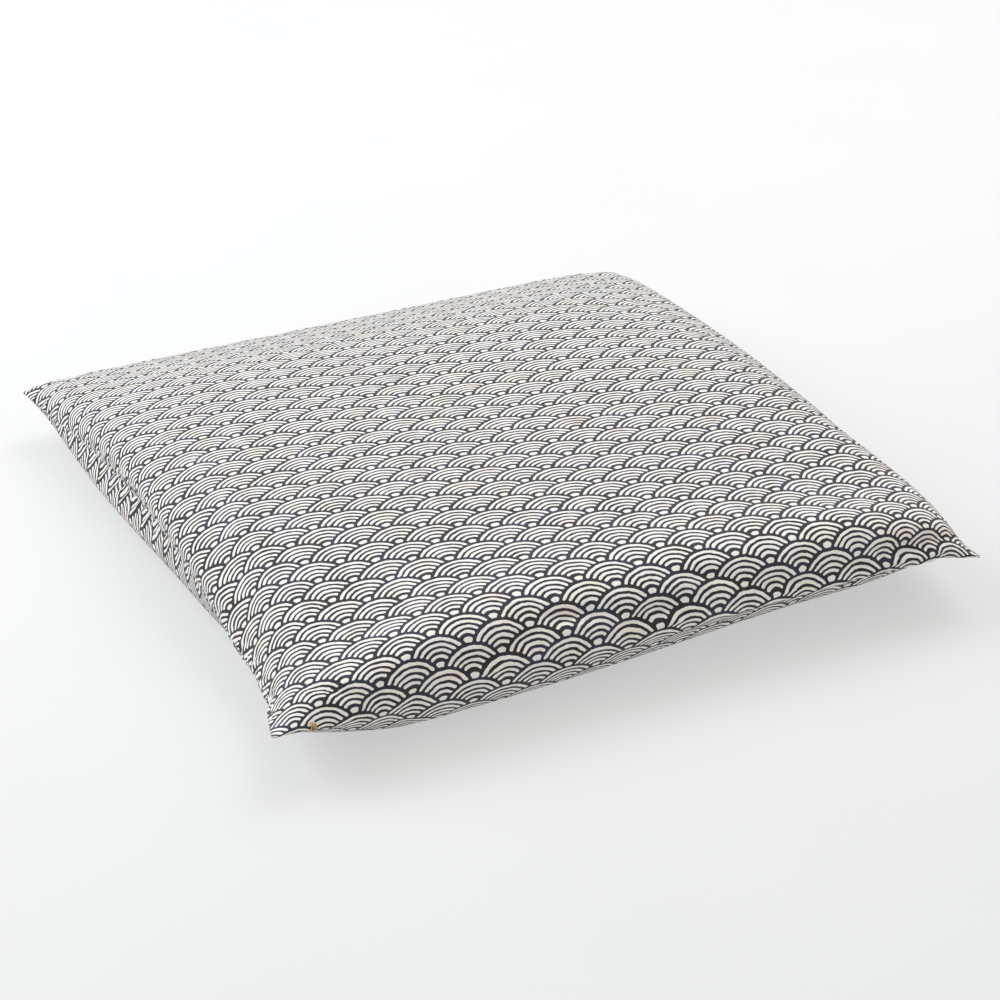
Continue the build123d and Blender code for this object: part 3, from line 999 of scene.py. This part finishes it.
    # -- finishing touches
    def plump(self, points: np.ndarray) -> np.ndarray:
        """Push the stuffing about as a hand does after filling the cover."""
        across, along = self.cut.flat
        inward = np.minimum(
            self.cut.half_width - np.abs(across), self.cut.half_depth - np.abs(along)
        )
        panels = [points[self.cut.upper], points[self.cut.lower]]
        for push in self.plumped:
            share = push.share(across, along)
            for panel, side in zip(panels, (Side.PLUS, Side.MINUS)):
                held = np.clip(inward / push.seam_reach, 0, 1) if push.side else 1.0
                if push.side in (None, side):
                    panel += (share * held)[:, :, None] * np.array(push.push)
        return self.cut.merged(*panels)

    def relaxed(self, points: np.ndarray) -> np.ndarray:
        """Ease out the sharp folds that the filling leaves beside the side seams."""
        across, _ = self.cut.flat
        inward = (self.cut.half_width - np.abs(across))[1:-1, 1:-1, None]
        share = 0.5 * (1 - smooth_step(inward, *self.eased))
        panels = [points[self.cut.upper], points[self.cut.lower]]
        for _ in range(self.easing):
            for panel in panels:
                around = (
                    panel[:-2, 1:-1] + panel[2:, 1:-1] + panel[1:-1, :-2] + panel[1:-1, 2:]
                ) / 4
                around[:, -2:] = panel[1:-1, -3:-1]
                panel[1:-1, 1:-1] += share * (around - panel[1:-1, 1:-1])
        return self.cut.merged(*panels)

    def rest_on_floor(self, points: np.ndarray) -> np.ndarray:
        """Flatten what would sink below the floor."""
        height, soft = points[:, 2], self.floor_give
        points[:, 2] = np.where(height > soft, height, soft * np.exp((height - soft) / soft))
        return points

    def opened(self, points: np.ndarray) -> list[np.ndarray]:
        """Open the back edge for the zip.

        Args:
            points: The settled cloth.

        Returns:
            The upper and the lower panel, whose lips stand apart along the zip.
        """
        step = 2 * self.cut.half_depth / self.cut.rows
        run = np.arange(self.cut.rows + 1)[::-1] * step
        shifted = run + self.slot_half_height * np.clip(1 - run / self.lip_run, 0, 1)
        panels = [points[self.cut.upper], points[self.cut.lower]]
        for panel in panels:
            for column in np.flatnonzero(self.zip_columns()):
                for axis in range(3):
                    line = panel[column, ::-1, axis]
                    panel[column, :, axis] = np.interp(shifted[::-1], run[::-1], line)[::-1]
        return panels

    def build(self, material: bpy.types.Material) -> bpy.types.Object:
        """Make the whole cover.

        Args:
            material: The printed cloth.

        Returns:
            The finished piece.
        """
        target = self.stuffed()
        settled = self.simulate(target)
        self.settled = self.rest_on_floor(self.plump(self.relaxed(settled)))
        points, faces, cloth_uv = self.with_lips(*self.opened(self.settled))
        piece = as_object("cushion_cover", points, faces, material)
        self.mark(piece, cloth_uv)
        modifier = piece.modifiers.new("finer", "SUBSURF")
        modifier.levels = modifier.render_levels = 1
        modifier.uv_smooth = "PRESERVE_BOUNDARIES"
        apply_modifiers(piece)
        self.pucker(piece)
        self.crease(piece)
        self.final = piece.data
        self.skin = skin_of(piece.data)
        return piece

    def with_lips(
        self, upper: np.ndarray, lower: np.ndarray
    ) -> tuple[np.ndarray, list, list]:
        """Join the panels, with the lips apart and turned in as hems.

        Args:
            upper: The upper panel's points.
            lower: The lower panel's points.

        Returns:
            The points, the faces, and each face corner's place on the flat cloth.
        """
        points = self.cut.merged(upper, lower).tolist()
        across, along = self.cut.flat
        run = along + self.cut.half_depth
        upper_numbers, lower_numbers = self.cut.upper, self.cut.lower
        opened = np.flatnonzero(self.zip_columns())
        for column in opened:
            lower_numbers[column, -1] = len(points)
            points.append(lower[column, -1].tolist())
        grids = [(upper_numbers, across, run, Side.PLUS), (lower_numbers, across, -run, Side.MINUS)]
        for numbers, side in ((upper_numbers, Side.PLUS), (lower_numbers, Side.MINUS)):
            strip, past_lip = self.hem(points, numbers[opened, -1], side)
            u = np.repeat(across[opened, -1][:, None], strip.shape[1], 1)
            v = side.value * (2 * self.cut.half_depth + np.repeat(past_lip[None], len(opened), 0))
            grids.append((strip, u, v, side))
        faces, cloth_uv = [], []
        for numbers, u, v, side in grids:
            turned = side is Side.MINUS
            faces += around_cells(numbers, turned).tolist()
            cloth_uv += around_cells(np.stack([u, v], 2), turned).reshape(-1, 2).tolist()
        return np.array(points), faces, cloth_uv

    def hem(self, points: list, lip: np.ndarray, side: Side) -> tuple[np.ndarray, np.ndarray]:
        """Turn one lip in, so that the cloth lies doubled inside the cover.

        Args:
            points: The cover's points, to which the hem's own are added.
            lip: The lip's vertex numbers.
            side: Which lip it is.

        Returns:
            The hem's grid of vertex numbers, and how far past the lip each of its lines is cut.
        """
        width = self.hem_width / MM
        turned_in = ((0.6, 0.0), (1.6, 0.3), (1.9, -0.8), (2.0, -width / 2), (2.4, -width))
        lines = [lip]
        for thicknesses, millimetres in turned_in:
            lines.append(len(points) + np.arange(len(lip)))
            for number in lip:
                x, y, z = points[number]
                lift = -millimetres * MM * side.value
                points.append([x, y - thicknesses * self.cloth, z + lift])
        past_lip = np.array([0, 0.3, 0.7, 1.6, 1 + width / 2, 1 + width]) * MM
        return np.stack(lines, 1), past_lip

    def mark(self, piece: bpy.types.Object, cloth_uv: list) -> None:
        """Store the flat cloth's coordinates, and keep the side seams sharp."""
        mesh = piece.data
        layer = mesh.uv_layers.new(name="cloth")
        layer.data.foreach_set("uv", np.array(cloth_uv).ravel())
        count = len(mesh.vertices)
        coordinates = {name: np.zeros(count) for name in ("across", "along", "panel")}
        across, along = self.cut.flat
        for numbers, side in ((self.cut.lower, -1), (self.cut.upper, 1)):
            coordinates["across"][numbers] = across
            coordinates["along"][numbers] = along
            coordinates["panel"][numbers] = side
        upper = self.cut.upper
        for border in (upper[0], upper[-1], upper[:, 0], upper[:, -1]):
            coordinates["panel"][border] = 0
        tail = slice(self.cut.merged(across, across).size, count)
        coordinates["across"][tail] = points_of(mesh)[tail, 0]
        coordinates["along"][tail] = self.cut.half_depth
        for name, values in coordinates.items():
            mesh.attributes.new(name, "FLOAT", "POINT").data.foreach_set("value", values)
        sharp = set()
        for seam in upper[[0, -1]].tolist():
            sharp.update(zip(seam, seam[1:]))
        crease = mesh.attributes.new("crease_edge", "FLOAT", "EDGE")
        for edge in mesh.edges:
            if tuple(sorted(edge.vertices)) in sharp:
                crease.data[edge.index].value = 1.0

    def pucker(self, piece: bpy.types.Object) -> None:
        """Draw the cloth up into small puckers along the side seams."""
        mesh, made = piece.data, self.puckers
        points, normals = points_of(mesh), normals_of(mesh)
        across, along, panel = (points_of(mesh, name) for name in ("across", "along", "panel"))
        inward = self.cut.half_width - np.abs(across)
        end = smooth_step(self.cut.half_depth - np.abs(along), *made.calm_end)
        for side, phase in made.phases:
            near = np.sign(across) == side.value
            wave = made.wave(across, along, inward * panel, phase)
            fade = np.exp(-inward / made.reach) * smooth_step(inward, *made.rim)
            rise = near * end * made.vigour(along, phase) * fade * wave * made.height
            points += rise[:, None] * normals
            points[:, 2] += near * end * np.exp(-inward / made.wobble_reach) * wave * made.wobble
            groove = near * end * np.exp(-inward / made.groove_reach) * made.groove
            points[:, 0] -= side.value * groove
        move_points(mesh, points)

    def crease(self, piece: bpy.types.Object) -> None:
        """Fold shallow creases into the front, where the cloth slackens over the pad."""
        mesh = piece.data
        points, normals = points_of(mesh), normals_of(mesh)
        across, along, panel = (points_of(mesh, name) for name in ("across", "along", "panel"))
        on_top = np.abs(panel - Side.PLUS.value) < 0.01
        for crease in self.creases:
            sunk = crease.sunk(across, along + self.cut.half_depth)
            points -= (on_top * sunk)[:, None] * normals
        points[:, 2] = np.maximum(points[:, 2], 0)
        move_points(mesh, points)

    # -- places that other pieces need
    def border(self, coordinate: str, value: float) -> np.ndarray:
        """Return the finished cover's points on one seam or fold, in order.

        Args:
            coordinate: "across" or "along".
            value: The line's place on the flat cloth.

        Returns:
            The points, ordered by the other coordinate.
        """
        other = "along" if coordinate == "across" else "across"
        chosen = np.abs(points_of(self.final, coordinate) - value) < SAME_LINE
        chosen &= points_of(self.final, "panel") == 0
        order = np.argsort(points_of(self.final, other)[chosen])
        return points_of(self.final)[chosen][order]

    def touched(self, start: np.ndarray, direction: tuple[float, float, float]) -> tuple:
        """Return where a line meets the cover and the cover's normal there, or two Nones."""
        return self.skin.ray_cast(Vector(start), Vector(direction), PROBE_REACH)[:2]


# ---- sewing -------------------------------------------------------------------------
@dataclass
class Sewing:
    """Every stitch: side seams, the rows beside the zip, and the tack at the front left."""

    cover: Cover
    thread: float = 0.22 * MM
    stitch: float = 2.7 * MM
    gap: float = 0.9 * MM
    seam_depth: float = 0.9 * MM
    seam_sink: float = 0.5 * MM
    zip_row: float = 6.6 * MM
    zip_row_sink: float = 0.35 * MM
    zip_row_rise: float = 0.12 * MM
    zip_row_points: int = 260
    tack_from_corner: float = 26 * MM
    tack_thread: float = 0.36 * MM
    tack_loops: int = 6
    tack_spacing: float = 0.62 * MM
    tack_radius: float = 3.4 * MM
    tack_flatness: float = 0.8

    def side_seam(self, side: Side, material: bpy.types.Material) -> bpy.types.Object:
        """Return one side's seam, its stitches lying in the groove between the panels."""
        line = self.cover.border("across", side.value * self.cover.cut.half_width)
        outward = np.tile([side.value, 0.0, 0.0], (len(line), 1))
        line = line - outward * self.seam_depth
        rows = stitch_rows(line, outward, self.stitch, self.gap, self.seam_sink)
        name = f"{side.hand}_seam"
        return self.sewn(name, rows, self.thread, material, f"{name}_stitching", "sewing_thread")

    def zip_row_of(self, side: Side, material: bpy.types.Material) -> bpy.types.Object:
        """Return the row of stitches that holds one of the zip's tapes."""
        low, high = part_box("zip_tape_upper")
        height = self.cover.wall_height + side.value * self.zip_row
        behind = self.cover.wall + 60 * MM
        line, outward = [], []
        for x in np.linspace(low.x + 2 * MM, high.x - 2 * MM, self.zip_row_points):
            place, normal = self.cover.touched((x, behind, height), (0, -1, 0))
            if place is not None:
                line.append(np.array(place) + np.array(normal) * self.zip_row_rise)
                outward.append(normal)
        rows = stitch_rows(
            np.array(line), np.array(outward), self.stitch, self.gap, self.zip_row_sink
        )
        name = f"zip_stitching_{side.level}"
        return self.sewn(f"{name}_row", rows, self.thread, material, name, "sewing_thread")

    def tack(self, material: bpy.types.Material) -> bpy.types.Object:
        """Return the hand-sewn loops of heavier thread over the fold near the front left tip."""
        fold = self.cover.border("along", -self.cover.cut.half_depth)
        walked = np.cumsum(np.linalg.norm(np.diff(fold, axis=0), axis=1))
        start = int(np.searchsorted(walked, self.tack_from_corner))
        centre, ahead = fold[start], fold[start + 2] - fold[start - 2]
        ahead = ahead / np.linalg.norm(ahead)
        inward = np.array([-ahead[1], ahead[0], 0.0])
        up = np.cross(ahead, inward)
        middle = centre + inward * 2.6 * MM + up * 0.7 * MM
        turn = np.linspace(-0.35 * math.pi, 0.95 * math.pi, 18)
        arc = np.outer(np.sin(turn), up) * self.tack_flatness - np.outer(np.cos(turn), inward)
        loops = []
        for loop in range(self.tack_loops):
            slide = (loop - (self.tack_loops - 1) / 2) * self.tack_spacing
            lean = 0.5 * math.sin(2.3 * loop)
            radius = self.tack_radius + 0.3 * MM * math.cos(1.7 * loop)
            drift = np.outer(slide + lean * (turn - 1.0) * MM, ahead)
            loops.append(middle + arc * radius + drift)
        return self.sewn(
            "front_tack", loops, self.tack_thread, material, "corner_tack", "tan_thread"
        )

    @staticmethod
    def sewn(
        name: str, rows: list, radius: float, material: bpy.types.Material, node: str, slot: str
    ) -> bpy.types.Object:
        """Make one piece of thread and tell the frame what it stands for."""
        points, faces = tubes(rows, radius)
        piece = as_object(name, points, faces, material)
        declare(piece, "cushion", slot, node)
        return piece


# ---- zip ----------------------------------------------------------------------------
@dataclass
class Zip:
    """Tapes and coils; the stops, slider and pull stay as they were made."""

    cover: Cover
    wire: float = 0.32 * MM
    pitch: float = 1.5 * MM
    coil_steps: int = 14
    squareness: float = 1.8
    first_loop: float = 7.0
    tape_clearance: float = 1.6 * MM
    tape_reach: float = 11.5 * MM
    tape_end: float = 5 * MM
    probe_start: float = 200 * MM
    tape_grid: tuple[int, int] = (220, 12)

    def tape(self, side: Side, material: bpy.types.Material) -> bpy.types.Object:
        """Return one tape, which lies against the cover's inside."""
        node = f"zip_tape_{side.level}"
        low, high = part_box(node)
        edge = self.cover.wall_height + side.value * self.tape_reach
        inner = low.z if side is Side.PLUS else high.z
        heights = np.sort(np.linspace(edge, inner, self.tape_grid[1]))
        places = np.linspace(low.x + self.tape_end, high.x - self.tape_end, self.tape_grid[0])
        layers = []
        for thickness in (0.0, high.y - low.y):
            layer = np.array([[(x, low.y, z) for z in heights] for x in places])
            for i, x in enumerate(places):
                for j, z in enumerate(heights):
                    hit = self.cover.touched((x, self.probe_start, z), (0, 1, 0))[0]
                    nearest = hit.y - self.tape_clearance if hit else low.y
                    layer[i, j, 1] = min(low.y, nearest) + thickness
            layers.append(layer)
        faces = closed_slab_faces(*self.tape_grid)
        points = np.concatenate([layer.reshape(-1, 3) for layer in layers])
        piece = as_object(f"{node}_weave", points, faces, material, False)
        declare(piece, "cushion", "zip_tape", node)
        return piece

    def coil(self, side: Side, material: bpy.types.Material) -> bpy.types.Object:
        """Return one row of the coil, wound so that the two rows mesh."""
        node = f"zip_coil_{side.level}"
        low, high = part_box(node)
        turns = (high.x - low.x - 2 * self.wire) / self.pitch
        angle = np.arange(0, turns * self.coil_steps) * 2 * math.pi / self.coil_steps
        half_turn = np.where(angle > self.first_loop, math.pi, 0.0)
        along = angle if side is Side.PLUS else angle + half_turn
        squared = np.tanh(self.squareness * np.cos(angle)) / math.tanh(self.squareness)
        depth = (high.y - low.y) / 2 - self.wire
        reach = (high.z - low.z) / 2 - self.wire
        path = np.stack([
            low.x + self.wire + along / (2 * math.pi) * self.pitch,
            (low.y + high.y) / 2 + depth * np.sin(angle),
            (low.z + high.z) / 2 + reach * squared,
        ], 1)
        points, faces = tubes([path[path[:, 0] < high.x - self.wire]], self.wire)
        piece = as_object(f"{node}_turns", points, faces, material)
        declare(piece, "cushion", "zip_coil", node)
        return piece

    def metal(self, material: bpy.types.Material) -> None:
        """Plate the stops, the slider and the pull."""
        for node in ("zip_top_stops", "zip_bottom_stop", "zip_slider", "zip_pull"):
            plated = bpy.data.objects[node]
            plated.data.materials.clear()
            plated.data.materials.append(material)


# ---- pad ----------------------------------------------------------------------------
@dataclass
class Pad:
    """The inner case and the three layers of cotton that fill it."""

    cover: Cover
    every: int = 2
    closing_length: float = 130 * MM
    closing_pitch: float = 5 * MM
    closing_thread: float = 0.25 * MM
    case_inset: float = 13 * MM
    wadding_inset: float = 19 * MM

    def layer(
        self, name: str, node: str, slot: str, material: bpy.types.Material,
        share: tuple[float, float], inset: float,
    ) -> bpy.types.Object:
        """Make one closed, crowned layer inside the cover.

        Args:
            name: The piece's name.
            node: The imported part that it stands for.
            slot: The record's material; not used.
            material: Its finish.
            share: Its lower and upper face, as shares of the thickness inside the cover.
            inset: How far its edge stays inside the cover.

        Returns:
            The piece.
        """
        cut = self.cover.cut
        upper = self.cover.settled[cut.upper][:: self.every, :: self.every]
        lower = self.cover.settled[cut.lower][:: self.every, :: self.every]
        middle = (upper[:, :, :2] + lower[:, :, :2]) / 2
        drawn_in = 1 - inset / np.array([cut.half_width, cut.half_depth])
        surfaces = []
        for part in share:
            surface = lower + (upper - lower) * part
            surface[:, :, :2] = middle * drawn_in
            surfaces.append(surface.reshape(-1, 3))
        faces = closed_slab_faces(*upper.shape[:2])
        piece = as_object(name, np.concatenate(surfaces), faces, material)
        declare(piece, "cushion", slot, node)
        return piece

    def closing(self, casing: bpy.types.Object, material: bpy.types.Material) -> bpy.types.Object:
        """Return the hand stitches that close the case's back edge."""
        skin = skin_of(casing.data)
        turn = np.linspace(-0.5 * math.pi, 0.5 * math.pi, 9)
        stitch = np.stack([0.9 * MM * turn, 0.7 * MM * np.cos(turn), 2.4 * MM * np.sin(turn)], 1)
        rows = []
        for x in np.arange(-self.closing_length / 2, self.closing_length / 2, self.closing_pitch):
            start = Vector((x, self.cover.wall, self.cover.wall_height))
            place = skin.ray_cast(start, Vector((0, -1, 0)), PROBE_REACH)[0]
            if place is not None:
                rows.append(np.array(place) + stitch)
        points, faces = tubes(rows, self.closing_thread)
        piece = as_object("pad_hand_stitches", points, faces, material)
        declare(piece, "cushion", "white_thread", "pad_closing_stitches")
        return piece

    def build(self) -> None:
        """Make the case, its closing stitches and the three layers."""
        cotton = PlainWeave("plain_cotton", (0.78, 0.75, 0.69), (0.66, 0.62, 0.55), 0.5 * MM)
        casing = self.layer(
            "inner_case", "pad_casing", "plain_cotton", cotton.material(), (0.03, 0.965),
            self.case_inset,
        )
        thread = Thread("white_thread", (0.84, 0.83, 0.80), (0.62, 0.6, 0.56))
        self.closing(casing, thread.material())
        fibre = Wadding().material()
        for name, node, share in (
            ("lower_wadding", "wadding_lower_layer", (0.06, 0.27)),
            ("core_wadding", "wadding_core", (0.28, 0.71)),
            ("upper_wadding", "wadding_upper_layer", (0.72, 0.93)),
        ):
            self.layer(name, node, "cotton_wadding", fibre, share, self.wadding_inset)


# ---- studio -------------------------------------------------------------------------
@dataclass(frozen=True)
class Lamp:
    """A soft square lamp that faces the cushion."""

    name: str
    place: Triple
    size: float
    power: float
    colour: Triple

    def build(self) -> None:
        """Hang the lamp."""
        data = bpy.data.lights.new(self.name, "AREA")
        data.size = self.size
        data.energy = self.power
        data.color = self.colour
        lamp = bpy.data.objects.new(self.name, data)
        lamp.location = self.place
        lamp.rotation_euler = (-Vector(self.place)).to_track_quat("-Z", "Y").to_euler()
        bpy.context.scene.collection.objects.link(lamp)


@dataclass
class Studio:
    """Pale floor, soft light and the camera."""

    focal_pixels: float = 2391.2
    image_side: float = 1000.0
    sensor: float = 36.0
    yaw: float = 23.86
    pitch: float = 27.99
    roll: float = -1.68
    place: tuple = (-0.6282, -1.4563, 0.8533)
    floor_reach: float = 9.0
    sweep_start: float = 0.55
    sweep_radius: float = 2.0
    sweep_top: float = 6.0
    sky: float = 0.80
    sky_colour: tuple = (1.0, 0.975, 0.94, 1.0)
    lamps: tuple[Lamp, ...] = (
        Lamp("window", (-1.9, 1.7, 1.9), 1.8, 76.0, (0.86, 0.94, 1.0)),
        Lamp("fill", (1.2, 0.9, 2.2), 2.0, 33.0, (0.97, 0.98, 1.0)),
    )

    def camera(self) -> None:
        """Set up the camera, which looks down at the cushion from its front left."""
        data = bpy.data.cameras.new("camera")
        data.sensor_width = self.sensor
        data.lens = self.focal_pixels / self.image_side * self.sensor
        yaw, pitch, roll = (math.radians(angle) for angle in (self.yaw, self.pitch, self.roll))
        level = math.cos(pitch)
        ahead = Vector((math.sin(yaw) * level, math.cos(yaw) * level, -math.sin(pitch)))
        right = Vector((math.cos(yaw), -math.sin(yaw), 0))
        up = right.cross(ahead)
        turned_right = right * math.cos(roll) + up * math.sin(roll)
        turned_up = up * math.cos(roll) - right * math.sin(roll)
        camera = bpy.data.objects.new("camera", data)
        rotation = Matrix((turned_right, turned_up, -ahead)).transposed()
        camera.matrix_world = Matrix.Translation(Vector(self.place)) @ rotation.to_4x4()
        bpy.context.scene.collection.objects.link(camera)
        bpy.context.scene.camera = camera

    def floor(self, material: bpy.types.Material) -> None:
        """Lay the paper floor, which rises far behind like a studio sweep."""
        reach, radius = self.floor_reach, self.sweep_radius
        start = self.sweep_start * reach
        rows = [(-reach, 0.0), (start, 0.0)]
        rows += [
            (start + radius * math.sin(turn), radius - radius * math.cos(turn))
            for turn in np.linspace(0.15, math.pi / 2, 9)
        ]
        rows.append((start + radius, self.sweep_top))
        points = [(x, y, z) for y, z in rows for x in (-reach, reach)]
        faces = [[2 * i, 2 * i + 1, 2 * i + 3, 2 * i + 2] for i in range(len(rows) - 1)]
        floor = as_object("studio_floor", np.array(points), faces, material)

    def build(self) -> None:
        """Set up the whole studio."""
        world = bpy.data.worlds.new("studio")
        world.use_nodes = True
        background = world.node_tree.nodes["Background"]
        background.inputs["Color"].default_value = self.sky_colour
        background.inputs["Strength"].default_value = self.sky
        scene = bpy.context.scene
        scene.world = world
        scene.view_settings.view_transform = "Standard"
        self.floor(StudioPaper().material())
        for lamp in self.lamps:
            lamp.build()
        self.camera()


def main() -> None:
    """Build the cushion piece by piece."""
    logging.basicConfig(level=logging.INFO, format="%(name)s: %(message)s")
    Studio().build()
    cover = Cover()
    piece = cover.build(PrintedCotton().material())
    declare(piece, "cushion", "printed_cotton", "cover_cloth")
    sewing = Sewing(cover)
    cotton_thread = Thread("sewing_thread", (0.07, 0.075, 0.11), (0.03, 0.032, 0.055)).material()
    zip_fastener = Zip(cover)
    tape = PlainWeave("zip_tape", (0.05, 0.055, 0.095), (0.022, 0.025, 0.05), 0.6 * MM).material()
    coil = Nylon().material()
    for side in Side:
        sewing.side_seam(side, cotton_thread)
        sewing.zip_row_of(side, cotton_thread)
        zip_fastener.tape(side, tape)
        zip_fastener.coil(side, coil)
    zip_fastener.metal(PlatedMetal().material())
    sewing.tack(Thread("tan_thread", (0.62, 0.40, 0.20), (0.38, 0.21, 0.09), 1500.0).material())
    Pad(cover).build()


if __name__ == "__main__":
    main()
